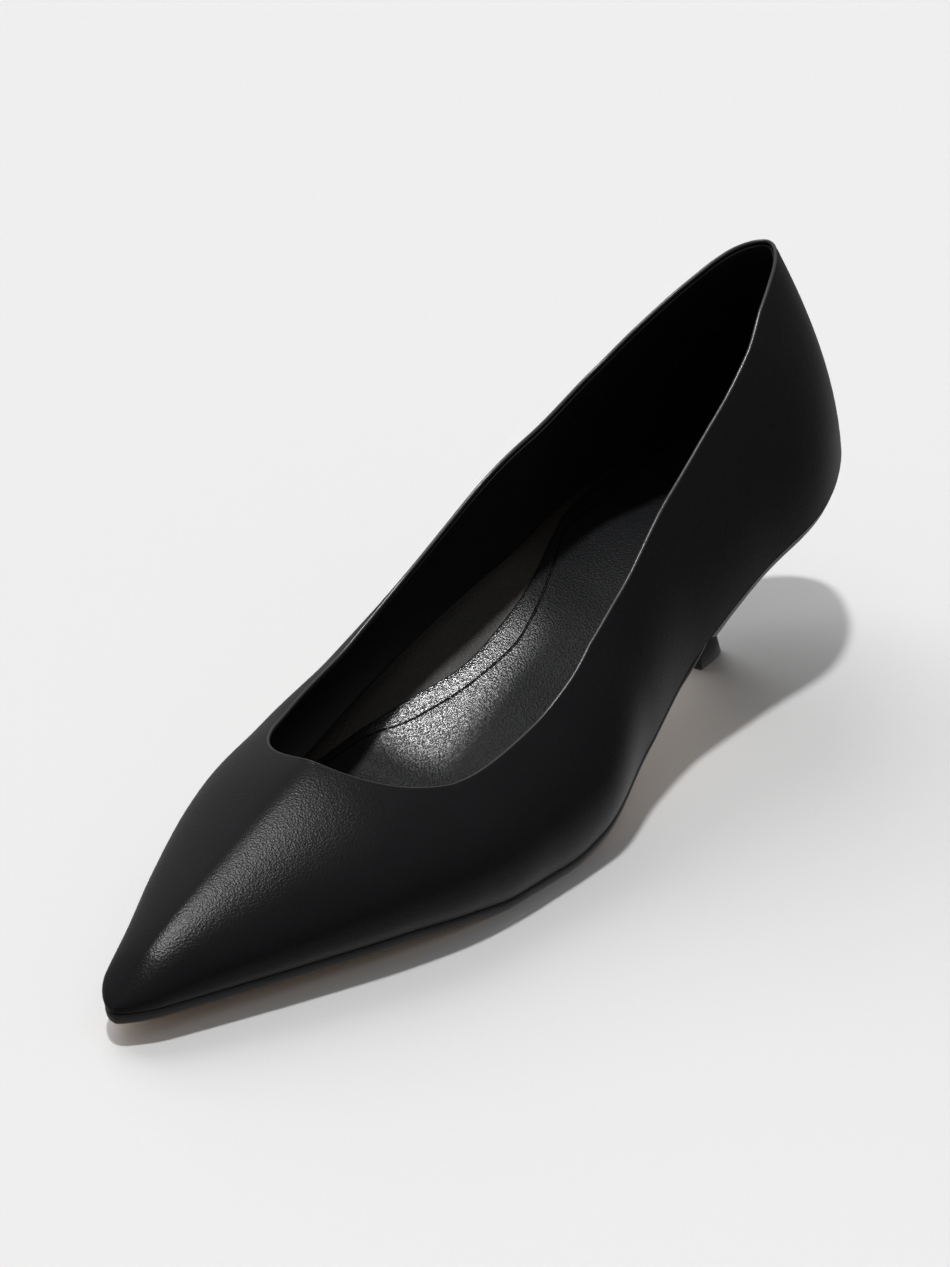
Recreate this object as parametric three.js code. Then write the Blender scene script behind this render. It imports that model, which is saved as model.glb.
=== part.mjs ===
// Pointed toe pump on a small kitten heel: the left shoe.
// Millimetres, +Z up, the toe points along -Y and the outer side of the foot along +X.
import * as THREE from 'three';

// Last: the form that the shoe is made on
const lastLength = 268;
const ballHalfWidth = 36;
const heelHeight = 42.7;
const toeSpring = 4.2;
const coneHeight = 29.5;
const counterHeight = 48.5;
const counterLean = 20.8;
const seatTuck = 2.6;
const heelRoundLength = 56;
const toeRoundLength = 7.5;
const noseRoundLength = 12;
const noseLip = 0.6;

// Opening of the upper, measured back from the tip of the last
const throatFromTip = 65;
const throatCornerFromTip = 105;
const throatSquareness = 2.9;

// Leather and clearances
const upperWall = 1.5;
const foreSole = 2.2;
const shankSole = 1.7;
const soleEdgeTuck = 0.3;
const sockThickness = 1.6;
const sockClearance = 0.9;
const pieceGap = 0.3;

// Heel and top lift
const breastFromBack = 92;
const liftFromBack = 63.9;
const liftLength = 13.3;
const liftHalfWidth = 5.7;
const liftOffset = 3.8;
const liftHeight = 6;
const liftFlare = 0.69;
const liftSlant = 0.62;
const liftRoundness = 0.66;

// Fineness of the surfaces
const sideColumns = 20;
const cornerColumns = 11;
const vampColumns = 16;
const wallRows = 8;
const soleStrips = 6;
const tipRows = 6;
const soleRowCount = 26;
const seatRows = 14;
const heelLevels = 13;
const liftRows = 10;

// Stations of the last where one form gives way to the next: 0 is its back, 1 its tip.
const counterEnds = 0.28;
const vampStarts = 0.58;
const leanEnds = 0.35;
const shankEnds = 0.44;
const foreSoleStarts = 0.56;
const tipStarts = 0.94;

// How much narrower the counter is at its collar, evenly and in a bow, as shares of its half width.
const counterTaper = 0.055;
const counterBow = 0.583;
// How the sole climbs from its level part to the arch: 1 is a straight slope.
const archCurve = 1.5;
// How the columns of the collar crowd towards the back of the heel: 1 is evenly spaced.
const collarCrowding = 1.7;

// Sections from the back of the heel to the tip of the toe.
// Widths are shares of ballHalfWidth, rises of heelHeight, spring of toeSpring, cone of coneHeight.
// The level share is how much of the sole's width, from its outer edge, lies level.
const sections = columns(
  ['at', 'outerWidth', 'innerWidth', 'outerRise', 'innerRise', 'spring', 'cone', 'levelShare'],
  [
    [0.00, 0.62, 0.63, 1.00, 1.00, 0.00, 2.85, 0.30],
    [0.08, 0.77, 0.67, 0.95, 0.92, 0.00, 2.81, 0.30],
    [0.16, 0.825, 0.725, 0.855, 0.835, 0.00, 2.70, 0.30],
    [0.26, 0.79, 0.75, 0.715, 0.79, 0.00, 2.52, 0.30],
    [0.36, 0.795, 0.665, 0.51, 0.75, 0.00, 2.20, 0.30],
    [0.46, 0.89, 0.74, 0.245, 0.58, 0.00, 1.84, 0.30],
    [0.56, 1.03, 0.86, 0.04, 0.28, 0.00, 1.56, 0.45],
    [0.60, 1.02, 0.905, 0.00, 0.15, 0.00, 1.45, 0.60],
    [0.64, 0.995, 0.93, 0.00, 0.07, 0.00, 1.33, 0.72],
    [0.67, 0.975, 0.915, 0.00, 0.04, 0.00, 1.25, 0.76],
    [0.72, 0.915, 0.855, 0.00, 0.01, 0.36, 1.105, 0.80],
    [0.78, 0.78, 0.725, 0.00, 0.00, 0.68, 0.94, 0.80],
    [0.86, 0.54, 0.51, 0.00, 0.00, 0.80, 0.68, 0.80],
    [0.94, 0.28, 0.275, 0.00, 0.00, 0.90, 0.40, 0.80],
    [1.00, 0.085, 0.135, 0.00, 0.00, 1.00, 0.12, 0.80],
  ],
);

// How the wall of a section curves: the angle at which it leaves the margin, in degrees,
// and the power of its curve, 1 for an ellipse and more for a ridge.
const wallForm = columns(
  ['at', 'startAngle', 'power'],
  [
    [0.00, -1, 0.76],
    [0.66, -17.5, 1.70],
    [1.00, -25, 1.00],
  ],
);

// Height of the collar above the margin of its own side, as shares of counterHeight.
const collar = columns(
  ['at', 'outer', 'inner'],
  [
    [0.00, 0.98, 0.98],
    [0.06, 0.975, 1.00],
    [0.14, 0.944, 0.98],
    [0.20, 0.86, 0.885],
    [0.26, 0.785, 0.745],
    [0.34, 0.735, 0.635],
    [0.42, 0.717, 0.57],
    [0.52, 0.696, 0.47],
    [0.61, 0.60, 0.534],
  ],
);

// Heel block from the seat, drop 0, to the top lift, drop 1.
// Each reach is the share of the way from the seat's outline to the lift's outline.
const heelForm = columns(
  ['drop', 'backReach', 'sideReach', 'frontReach'],
  [
    [0.00, 0.00, 0.00, 0.00],
    [0.06, 0.05, 0.03, 0.09],
    [0.18, 0.34, 0.24, 0.27],
    [0.32, 0.58, 0.46, 0.46],
    [0.48, 0.78, 0.68, 0.65],
    [0.64, 0.92, 0.86, 0.82],
    [0.80, 1.00, 0.985, 0.95],
    [0.90, 1.015, 1.00, 0.99],
    [1.00, 1.00, 1.00, 1.00],
  ],
);

// A table with named columns, each a smooth curve without overshoot over the first column.
function columns(names, rows) {
  const stations = rows.map((row) => row[0]);
  const curves = {};
  names.slice(1).forEach((name, index) => {
    curves[name] = smoothCurve(stations, rows.map((row) => row[index + 1]));
  });
  return curves;
}

function smoothCurve(xs, ys) {
  const last = xs.length - 1;
  const widths = xs.slice(1).map((x, i) => x - xs[i]);
  const slopes = widths.map((width, i) => (ys[i + 1] - ys[i]) / width);
  const tangents = ys.map((_, i) => {
    if (i === 0) return slopes[0];
    if (i === last) return slopes[last - 1];
    if (slopes[i - 1] * slopes[i] <= 0) return 0;
    const before = 2 * widths[i] + widths[i - 1];
    const after = widths[i] + 2 * widths[i - 1];
    return (before + after) / (before / slopes[i - 1] + after / slopes[i]);
  });
  return (x) => {
    let i = 0;
    while (i < last - 1 && x > xs[i + 1]) i += 1;
    const s = (x - xs[i]) / widths[i];
    const rise = ys[i] * (1 + 2 * s) * (1 - s) ** 2 + ys[i + 1] * s * s * (3 - 2 * s);
    return rise + widths[i] * (tangents[i] * s * (1 - s) ** 2 - tangents[i + 1] * s * s * (1 - s));
  };
}

const clamp = THREE.MathUtils.clamp;
const lerp = THREE.MathUtils.lerp;
const smoothstep = THREE.MathUtils.smoothstep;

// Last surface. A side is +1 for the outer side of the foot and -1 for the inner side.
// A station runs from 0 at the back of the last to 1 at its tip.

// Quarter of an ellipse: 0 at the end of the last, 1 where its rounding is over.
function roundedEnd(distance, length) {
  const rest = 1 - clamp(distance / length, 0, 1);
  return Math.sqrt(1 - rest * rest);
}

function halfWidth(side, station) {
  const share = side > 0 ? sections.outerWidth(station) : sections.innerWidth(station);
  const fromBack = station * lastLength;
  const ends = roundedEnd(fromBack, heelRoundLength) * roundedEnd(lastLength - fromBack, toeRoundLength);
  return ballHalfWidth * share * ends;
}

function soleThickness(station) {
  return lerp(shankSole, foreSole, smoothstep(station, shankEnds, foreSoleStarts));
}

// Underside of the sole at its edge.
function groundLine(side, station) {
  const rise = side > 0 ? sections.outerRise(station) : sections.innerRise(station);
  return rise * heelHeight + sections.spring(station) * toeSpring;
}

// Margin: the line where the upper is lasted down to the sole.
function marginHeight(side, station) {
  return groundLine(side, station) + soleThickness(station) + pieceGap;
}

// Top line of the last's section above the outer margin.
function ridgeHeight(station) {
  const nose = roundedEnd((1 - station) * lastLength + noseLip, noseRoundLength);
  return marginHeight(1, station) + sections.cone(station) * coneHeight * nose;
}

// Point of the upper's outside; turn runs from 0 at the margin to 1 at the ridge.
function wallPoint(side, station, turn) {
  const start = THREE.MathUtils.degToRad(wallForm.startAngle(station));
  const angle = lerp(start, Math.PI / 2, turn);
  const climb = (Math.sin(angle) - Math.sin(start)) / (1 - Math.sin(start));
  const margin = marginHeight(side, station);
  const z = margin + (ridgeHeight(station) - margin) * climb;
  const level = (z - margin) / counterHeight;
  const counterShare = 1 - counterTaper * level - counterBow * level * level;
  const vampShare = (Math.max(Math.cos(angle), 0) / Math.cos(start)) ** wallForm.power(station);
  const share = lerp(vampShare, counterShare, 1 - smoothstep(station, counterEnds, vampStarts));
  return framePoint(side * halfWidth(side, station) * share, alongPlace(station, z), z);
}

// The shoe's frame: the toe along -Y, from a distance measured from the back of the last.
function framePoint(x, fromBack, z) {
  return new THREE.Vector3(x, -fromBack, z);
}

// Distance from the back of the last, with the lean of the counter.
function alongPlace(station, z) {
  const level = (z - marginHeight(1, station)) / counterHeight;
  const lean = seatTuck + counterLean * (level * level + level) / 2;
  return station * lastLength + lean * backFade(station);
}

function backFade(station) {
  return clamp(1 - station / leanEnds, 0, 1) ** 2;
}

// Turn at which the wall of a section reaches a height above its own margin.
function turnAtHeight(side, station, height) {
  const start = THREE.MathUtils.degToRad(wallForm.startAngle(station));
  const climb = clamp(height / (ridgeHeight(station) - marginHeight(side, station)), 0, 1);
  const angle = Math.asin(lerp(Math.sin(start), 1, climb));
  return (angle - start) / (Math.PI / 2 - start);
}

// Columns of the upper from the back of the heel to the tip, each with its station and top.
function wallColumns(side) {
  const throat = 1 - throatFromTip / lastLength;
  const corner = 1 - throatCornerFromTip / lastLength;
  const collarHeight = side > 0 ? collar.outer : collar.inner;
  const list = [];
  for (let i = 0; i <= sideColumns; i += 1) {
    const station = corner * (i / sideColumns) ** collarCrowding;
    list.push({ station, top: turnAtHeight(side, station, collarHeight(station) * counterHeight) });
  }
  const cornerTop = list[sideColumns].top;
  const power = 2 / throatSquareness;
  for (let i = 1; i <= cornerColumns; i += 1) {
    const angle = (Math.PI / 2) * (i / cornerColumns);
    const station = lerp(corner, throat, Math.sin(angle) ** power);
    const top = 1 - (1 - cornerTop) * Math.max(Math.cos(angle), 0) ** power;
    list.push({ station, top: i === cornerColumns ? 1 : top });
  }
  for (let i = 1; i <= vampColumns; i += 1) {
    list.push({ station: lerp(throat, 1, Math.sin((Math.PI / 2) * (i / vampColumns))), top: 1 });
  }
  return list;
}

// Closed solid from faces given by their corners; corners in one place are one corner.
class SolidFaces {
  constructor() {
    this.places = new Map();
    this.positions = [];
    this.faces = [];
  }

  corner(point) {
    const key = [point.x, point.y, point.z].map((value) => Math.round(value * 1000)).join(' ');
    if (!this.places.has(key)) {
      this.places.set(key, this.positions.length / 3);
      this.positions.push(point.x, point.y, point.z);
    }
    return this.places.get(key);
  }

  triangle(a, b, c) {
    const [i, j, k] = [this.corner(a), this.corner(b), this.corner(c)];
    if (i !== j && j !== k && k !== i) this.faces.push(i, j, k);
  }

  quad(a, b, c, d) {
    this.triangle(a, b, c);
    this.triangle(a, c, d);
  }

  geometry() {
    const geometry = new THREE.BufferGeometry();
    geometry.setAttribute('position', new THREE.Float32BufferAttribute(this.positions, 3));
    geometry.setIndex(this.faces);
    geometry.computeVertexNormals();
    return geometry;
  }
}

// Upper

function wallColumn(side, column) {
  return range(wallRows).map((share) => {
    const point = wallPoint(side, column.station, column.top * share);
    if (column.station === 0 || column.station === 1) point.x = 0;
    return point;
  });
}

// Even shares from 0 to 1.
function range(steps) {
  return Array.from({ length: steps + 1 }, (_, i) => i / steps);
}

// Outside of the wall: outer columns from the heel to the tip, then inner columns back to the heel.
function wallRing() {
  const outer = wallColumns(1).map((column) => wallColumn(1, column));
  const inner = wallColumns(-1).map((column) => wallColumn(-1, column));
  return outer.concat(inner.slice(1, -1).reverse());
}

// Inside of the wall: each point moved in by the wall's thickness, square to the surface.
function insideOf(ring) {
  const skin = new SolidFaces();
  ring.forEach((column, i) => {
    const next = ring[(i + 1) % ring.length];
    for (let row = 0; row < wallRows; row += 1) {
      skin.quad(column[row], column[row + 1], next[row + 1], next[row]);
    }
  });
  const normals = skin.geometry().getAttribute('normal');
  return ring.map((column) => column.map((point) => {
    const out = new THREE.Vector3().fromBufferAttribute(normals, skin.corner(point));
    return point.clone().addScaledVector(out, -upperWall);
  }));
}

function upperSolid() {
  const outside = wallRing();
  const inside = insideOf(outside);
  const solid = new SolidFaces();
  const throatColumn = sideColumns + cornerColumns;
  const count = outside.length;
  for (let i = 0; i < count; i += 1) {
    const next = (i + 1) % count;
    const [a, b, c, d] = [outside[i], outside[next], inside[i], inside[next]];
    for (let row = 0; row < wallRows; row += 1) {
      solid.quad(a[row], a[row + 1], b[row + 1], b[row]);
      solid.quad(c[row], d[row], d[row + 1], c[row + 1]);
    }
    solid.quad(a[0], b[0], d[0], c[0]);
    const isCollar = Math.min(i, count - 1 - i) < throatColumn;
    if (isCollar) solid.quad(a[wallRows], c[wallRows], d[wallRows], b[wallRows]);
  }
  return solid.geometry();
}

// Solid between stacked grids of points, from its top grid to its bottom grid.
// Rows run from the toe end to the heel end, and each row from the outer to the inner side.
function blockSolid(levels) {
  const solid = new SolidFaces();
  const rows = levels[0].length - 1;
  const strips = levels[0][0].length - 1;
  const [top, bottom] = [levels[0], levels[levels.length - 1]];
  for (let i = 0; i < rows; i += 1) {
    for (let k = 0; k < strips; k += 1) {
      solid.quad(top[i][k], top[i + 1][k], top[i + 1][k + 1], top[i][k + 1]);
      solid.quad(bottom[i][k], bottom[i][k + 1], bottom[i + 1][k + 1], bottom[i + 1][k]);
    }
  }
  levels.slice(1).forEach((lower, level) => {
    const upper = levels[level];
    for (let i = 0; i < rows; i += 1) {
      solid.quad(upper[i][0], lower[i][0], lower[i + 1][0], upper[i + 1][0]);
      solid.quad(upper[i][strips], upper[i + 1][strips], lower[i + 1][strips], lower[i][strips]);
    }
    for (let k = 0; k < strips; k += 1) {
      solid.quad(upper[0][k], upper[0][k + 1], lower[0][k + 1], lower[0][k]);
      solid.quad(upper[rows][k], lower[rows][k], lower[rows][k + 1], upper[rows][k + 1]);
    }
  });
  return solid.geometry();
}

// Sole: a surface across the shoe between the two margins.

// Distance of the margin from the back of the last.
function marginPlace(station) {
  return station * lastLength + seatTuck * backFade(station);
}

// Station of a distance from the back of the last, along the margin.
function stationAt(fromBack) {
  let station = fromBack / lastLength;
  for (let turn = 0; turn < 4; turn += 1) {
    station += (fromBack - marginPlace(station)) / lastLength;
  }
  return clamp(station, 0, 1);
}

// Height of the margin's surface at a share of the way across, from the outer to the inner side.
// It stays level under the outer part of the foot and climbs in flat strips to the inner margin.
function crossHeight(station, across) {
  const strip = Math.min(Math.floor(across * soleStrips), soleStrips - 1);
  const [from, to] = [strip, strip + 1].map((edge) => crossClimb(station, edge / soleStrips));
  const climb = lerp(from, to, across * soleStrips - strip);
  return lerp(marginHeight(1, station), marginHeight(-1, station), climb);
}

function crossClimb(station, across) {
  const level = sections.levelShare(station);
  return clamp((across - level) / (1 - level), 0, 1) ** archCurve;
}

// Stations of the sole from the tip to the breast, close together at the rounded tip.
function soleStations() {
  const breast = breastFromBack / lastLength;
  const tip = range(tipRows).map((share) => lerp(1, tipStarts, share * share));
  const rest = range(soleRowCount).slice(1).map((share) => lerp(tipStarts, breast, share));
  return tip.concat(rest);
}

// Stations of the seat from the breast to the back, close together at the rounded back.
function seatStations() {
  const breast = breastFromBack / lastLength;
  return range(seatRows).map((turn) => breast * Math.cos((Math.PI / 2) * turn) ** 2);
}

// Rows of the sole's top side, each with its direction through the leather and its thickness.
function soleRows() {
  const rows = soleStations().map((station) => ({
    points: range(soleStrips).map((across) => {
      const x = station === 1 ? 0 : lerp(halfWidth(1, station), -halfWidth(-1, station), across);
      return framePoint(x, marginPlace(station), crossHeight(station, across) - pieceGap);
    }),
    thickness: soleThickness(station),
    isFlat: station > shankEnds,
  }));
  const flap = breastLevels().slice(1).map((level) => ({
    points: breastRow(level),
    thickness: shankSole,
    isFlat: false,
  }));
  return rows.concat(flap);
}

// Direction through the leather at a row: down, or square to the path of the sole.
function throughSole(rows, i) {
  if (rows[i].isFlat) return new THREE.Vector3(0, 0, -1);
  if (i === rows.length - 1) return new THREE.Vector3(0, -1, 0);
  const middle = soleStrips / 2;
  const path = rows[i + 1].points[middle].clone().sub(rows[i - 1].points[middle]);
  return new THREE.Vector3(0, path.z, -path.y).normalize();
}

function outsoleSolid() {
  const rows = soleRows();
  const top = [];
  const bottom = [];
  rows.forEach((row, i) => {
    const through = throughSole(rows, i);
    const onBreast = i >= soleStations().length;
    const lifted = row.points.map((point) => {
      return onBreast ? point.clone().addScaledVector(through, pieceGap) : point;
    });
    top.push(lifted);
    bottom.push(lifted.map((point, k) => {
      const tuck = soleEdgeTuck * (2 * k / soleStrips - 1);
      const low = point.clone().addScaledVector(through, row.thickness);
      const room = Math.abs(point.x) > 4 * soleEdgeTuck;
      return room ? low.setX(low.x + tuck) : low;
    }));
  });
  return blockSolid([top, bottom]);
}

// Sock: fills the margin inside the upper, a little smaller than it.
function sockSolid() {
  const inset = upperWall + sockClearance;
  const stations = soleStations().concat(seatStations().slice(1));
  const wide = stations.filter((station) => station < tipStarts || halfWidth(1, station) > 2 * inset);
  const grid = wide.map((station) => {
    const edges = [1, -1].map((side) => insetEdge(side, station, inset));
    return range(soleStrips).map((across) => {
      const x = lerp(edges[0].x, edges[1].x, across);
      const fromBack = lerp(edges[0].fromBack, edges[1].fromBack, across);
      return framePoint(x, fromBack, marginSurface(x, fromBack));
    });
  });
  const raised = grid.map((row) => row.map((point) => point.clone().setZ(point.z + sockThickness)));
  return blockSolid([raised, grid]);
}

// Point of the margin's outline moved inwards, square to the outline.
function insetEdge(side, station, inset) {
  const [before, after] = [station - 0.5 / lastLength, station + 0.5 / lastLength]
    .map((near) => clamp(near, 0, 1));
  const run = new THREE.Vector2(
    halfWidth(side, after) - halfWidth(side, before),
    marginPlace(after) - marginPlace(before),
  ).normalize();
  const x = Math.max(halfWidth(side, station) - inset * run.y, 0);
  return { x: station === 0 ? 0 : side * x, fromBack: marginPlace(station) + inset * run.x };
}

// Height of the margin's surface at a place in the shoe's plan.
function marginSurface(x, fromBack) {
  const station = stationAt(fromBack);
  const outer = halfWidth(1, station);
  const across = clamp((outer - x) / (outer + halfWidth(-1, station)), 0, 1);
  return crossHeight(station, across);
}

// Heel block and top lift

function breastLevels() {
  return range(heelLevels);
}

// Top of the lift: its size where the heel block and the breast leather stand on it.
const liftTop = {
  halfWidth: liftHalfWidth * liftFlare,
  length: liftLength * liftFlare,
  front: liftFromBack - liftLength * (1 - liftFlare) * liftSlant,
};

// Front face of the heel block at a drop, from the outer to the inner side.
function breastRow(drop) {
  const breast = breastFromBack / lastLength;
  const foot = liftTop.front - shankSole - pieceGap;
  return range(soleStrips).map((across) => {
    const seatX = lerp(halfWidth(1, breast), -halfWidth(-1, breast), across);
    const liftX = liftOffset + lerp(liftTop.halfWidth, -liftTop.halfWidth, across);
    const x = lerp(seatX, liftX, heelForm.sideReach(drop));
    const fromBack = lerp(marginPlace(breast), foot, heelForm.frontReach(drop));
    return framePoint(x, fromBack, lerp(crossHeight(breast, across) - pieceGap, liftHeight, drop));
  });
}

// Rounded outline of the lift: turn runs from 0 at its front edge to 1 at its back.
function liftPoint(size, turn, across, z) {
  const angle = (Math.PI / 2) * turn;
  const reach = Math.sin(angle) ** liftRoundness;
  const spread = turn === 1 ? 0 : Math.cos(angle) ** liftRoundness;
  const x = liftOffset + size.halfWidth * spread * (1 - 2 * across);
  return framePoint(x, size.front - size.length * reach, z);
}

function heelSolid() {
  const foot = {
    halfWidth: liftTop.halfWidth,
    length: liftTop.length - shankSole - pieceGap,
    front: liftTop.front - shankSole - pieceGap,
  };
  const stations = seatStations();
  const levels = breastLevels().map((drop) => stations.map((station, i) => {
    if (i === 0) return breastRow(drop);
    const turn = i / (stations.length - 1);
    const edges = [1, -1].map((side) => (turn === 1 ? 0 : side * halfWidth(side, station)));
    const backShare = Math.sin((Math.PI / 2) * turn);
    const along = lerp(heelForm.frontReach(drop), heelForm.backReach(drop), backShare);
    return range(soleStrips).map((across) => {
      const low = liftPoint(foot, turn, across, liftHeight);
      const x = lerp(lerp(edges[0], edges[1], across), low.x, heelForm.sideReach(drop));
      const fromBack = lerp(marginPlace(station), -low.y, along);
      return framePoint(x, fromBack, lerp(crossHeight(station, across) - pieceGap, liftHeight, drop));
    });
  }));
  return blockSolid(levels);
}

function topLiftSolid() {
  const floorSize = { halfWidth: liftHalfWidth, length: liftLength, front: liftFromBack };
  const levels = [[liftTop, liftHeight], [floorSize, 0]].map(([size, z]) => {
    return range(liftRows).map((turn) => range(soleStrips).map((across) => liftPoint(size, turn, across, z)));
  });
  return blockSolid(levels);
}

// Materials
const blackLeather = new THREE.MeshStandardMaterial({ color: 0x17161a, roughness: 0.42 });
const soleLeather = new THREE.MeshStandardMaterial({ color: 0xb08a5e, roughness: 0.6 });
const sockLeather = new THREE.MeshStandardMaterial({ color: 0x1b191b, roughness: 0.35 });
const heelLacquer = new THREE.MeshStandardMaterial({ color: 0x121114, roughness: 0.35 });
const liftRubber = new THREE.MeshStandardMaterial({ color: 0x0f0f10, roughness: 0.6 });

// Shoe
const shoe = new THREE.Group();

function addPiece(name, geometry, material) {
  const piece = new THREE.Mesh(geometry, material);
  piece.name = name;
  shoe.add(piece);
}

addPiece('upper', upperSolid(), blackLeather);
addPiece('outsole', outsoleSolid(), soleLeather);
addPiece('insole', sockSolid(), sockLeather);
addPiece('heel', heelSolid(), heelLacquer);
addPiece('top_lift', topLiftSolid(), liftRubber);

// The origin is under the middle of the shoe, on the floor.
const bounds = new THREE.Box3().setFromObject(shoe);
const middle = bounds.getCenter(new THREE.Vector3());
shoe.position.set(-middle.x, -middle.y, 0);

export default shoe;
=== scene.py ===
import math

import bpy
import numpy as np
from mathutils import Matrix, Vector


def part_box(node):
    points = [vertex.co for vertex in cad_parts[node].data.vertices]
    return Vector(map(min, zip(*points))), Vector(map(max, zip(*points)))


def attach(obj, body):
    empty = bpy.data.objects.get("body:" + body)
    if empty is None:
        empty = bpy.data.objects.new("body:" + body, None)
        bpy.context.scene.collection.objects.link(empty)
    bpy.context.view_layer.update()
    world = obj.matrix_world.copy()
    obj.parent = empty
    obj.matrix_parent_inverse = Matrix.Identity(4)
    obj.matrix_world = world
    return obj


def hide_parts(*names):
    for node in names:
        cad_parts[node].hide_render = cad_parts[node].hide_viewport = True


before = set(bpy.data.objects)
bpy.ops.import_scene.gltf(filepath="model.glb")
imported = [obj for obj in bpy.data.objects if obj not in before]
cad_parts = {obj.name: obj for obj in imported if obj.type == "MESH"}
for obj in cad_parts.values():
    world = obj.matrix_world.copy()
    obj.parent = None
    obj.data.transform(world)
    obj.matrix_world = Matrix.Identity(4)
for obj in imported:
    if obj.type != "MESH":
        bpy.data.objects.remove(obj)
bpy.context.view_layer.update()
MM = 0.001

# Last: the form that the shoe is made on
LAST_LENGTH = 268.0
BALL_HALF_WIDTH = 36.0
HEEL_HEIGHT = 42.7
TOE_SPRING = 4.2
CONE_HEIGHT = 29.5
COUNTER_HEIGHT = 48.5
COUNTER_LEAN = 20.8
SEAT_TUCK = 2.6
HEEL_ROUND_LENGTH = 56.0
TOE_ROUND_LENGTH = 7.5
NOSE_ROUND_LENGTH = 12.0
NOSE_LIP = 0.6

# Opening of the upper, measured back from the tip of the last
THROAT_FROM_TIP = 65.0
THROAT_CORNER_FROM_TIP = 105.0
THROAT_SQUARENESS = 2.9

# Leather and clearances
UPPER_WALL = 1.5
LEATHER = 0.95
LINING_DROP = 1.1
FORE_SOLE = 2.2
SHANK_SOLE = 1.7
SOCK_THICKNESS = 1.6
SOCK_CLEARANCE = 0.9
PIECE_GAP = 0.3

# Heel and top lift
BREAST_FROM_BACK = 92.0
LIFT_FROM_BACK = 63.9
LIFT_LENGTH = 13.3
LIFT_HALF_WIDTH = 5.7
LIFT_OFFSET = 3.8
LIFT_HEIGHT = 6.0
LIFT_FLARE = 0.69
LIFT_SLANT = 0.62
LIFT_ROUNDNESS = 0.66

# Stations of the last where one form gives way to the next: 0 is its back, 1 its tip
COUNTER_ENDS = 0.28
VAMP_STARTS = 0.58
LEAN_ENDS = 0.35
SHANK_ENDS = 0.44
FORE_SOLE_STARTS = 0.56
TIP_STARTS = 0.94
COUNTER_TAPER = 0.055
COUNTER_BOW = 0.583
ARCH_CURVE = 1.5


# Curves

def monotone_curve(stations, values):
    """Smooth curve through the values, without overshoot."""
    xs, ys = np.array(stations, float), np.array(values, float)
    widths = np.diff(xs)
    slopes = np.diff(ys) / widths
    tangents = np.zeros(len(xs))
    tangents[0], tangents[-1] = slopes[0], slopes[-1]
    for i in range(1, len(xs) - 1):
        if slopes[i - 1] * slopes[i] > 0:
            before = 2 * widths[i] + widths[i - 1]
            after = widths[i] + 2 * widths[i - 1]
            tangents[i] = (before + after) / (before / slopes[i - 1] + after / slopes[i])

    def curve(x):
        x = np.asarray(x, float)
        i = np.clip(np.searchsorted(xs, x, side="right") - 1, 0, len(xs) - 2)
        s = (x - xs[i]) / widths[i]
        rise = ys[i] * (1 + 2 * s) * (1 - s) ** 2 + ys[i + 1] * s * s * (3 - 2 * s)
        turn = tangents[i] * s * (1 - s) ** 2 - tangents[i + 1] * s * s * (1 - s)
        return rise + widths[i] * turn

    return curve


def columns(names, rows):
    """A table with named columns, each a smooth curve over the first column."""
    table = np.array(rows, float)
    return {name: monotone_curve(table[:, 0], table[:, i + 1]) for i, name in enumerate(names[1:])}


def smoothstep(x, low, high):
    s = np.clip((np.asarray(x, float) - low) / (high - low), 0, 1)
    return s * s * (3 - 2 * s)


def lerp(a, b, share):
    return a + (b - a) * share


def bump(x, middle, reach):
    """Soft hill of height 1 around the middle, gone at the reach."""
    s = np.clip(1 - ((np.asarray(x, float) - middle) / reach) ** 2, 0, 1)
    return s * s


# Sections from the back of the heel to the tip of the toe.
# Widths are shares of BALL_HALF_WIDTH, rises of HEEL_HEIGHT, spring of TOE_SPRING, cone of CONE_HEIGHT.
# The level share is how much of the sole's width, from its outer edge, lies level.
SECTIONS = columns(
    ["at", "outer_width", "inner_width", "outer_rise", "inner_rise", "spring", "cone", "level_share"],
    [
        [0.00, 0.62, 0.63, 1.00, 1.00, 0.00, 2.85, 0.30],
        [0.08, 0.77, 0.67, 0.95, 0.92, 0.00, 2.81, 0.30],
        [0.16, 0.825, 0.725, 0.855, 0.835, 0.00, 2.70, 0.30],
        [0.26, 0.79, 0.75, 0.715, 0.79, 0.00, 2.52, 0.30],
        [0.36, 0.795, 0.665, 0.51, 0.75, 0.00, 2.20, 0.30],
        [0.46, 0.89, 0.74, 0.245, 0.58, 0.00, 1.84, 0.30],
        [0.56, 1.03, 0.86, 0.04, 0.28, 0.00, 1.56, 0.45],
        [0.60, 1.02, 0.905, 0.00, 0.15, 0.00, 1.45, 0.60],
        [0.64, 0.995, 0.93, 0.00, 0.07, 0.00, 1.33, 0.72],
        [0.67, 0.975, 0.915, 0.00, 0.04, 0.00, 1.25, 0.76],
        [0.72, 0.915, 0.855, 0.00, 0.01, 0.36, 1.105, 0.80],
        [0.78, 0.78, 0.725, 0.00, 0.00, 0.68, 0.94, 0.80],
        [0.86, 0.54, 0.51, 0.00, 0.00, 0.80, 0.68, 0.80],
        [0.94, 0.28, 0.275, 0.00, 0.00, 0.90, 0.40, 0.80],
        [1.00, 0.085, 0.135, 0.00, 0.00, 1.00, 0.12, 0.80],
    ],
)

# How the wall of a section curves: the angle at which it leaves the margin, in degrees,
# and the power of its curve, 1 for an ellipse and more for a ridge.
WALL_FORM = columns(
    ["at", "start_angle", "power"],
    [
        [0.00, -1, 0.76],
        [0.66, -17.5, 1.70],
        [0.94, -23.5, 1.42],
        [1.00, -25, 1.00],
    ],
)

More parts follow.
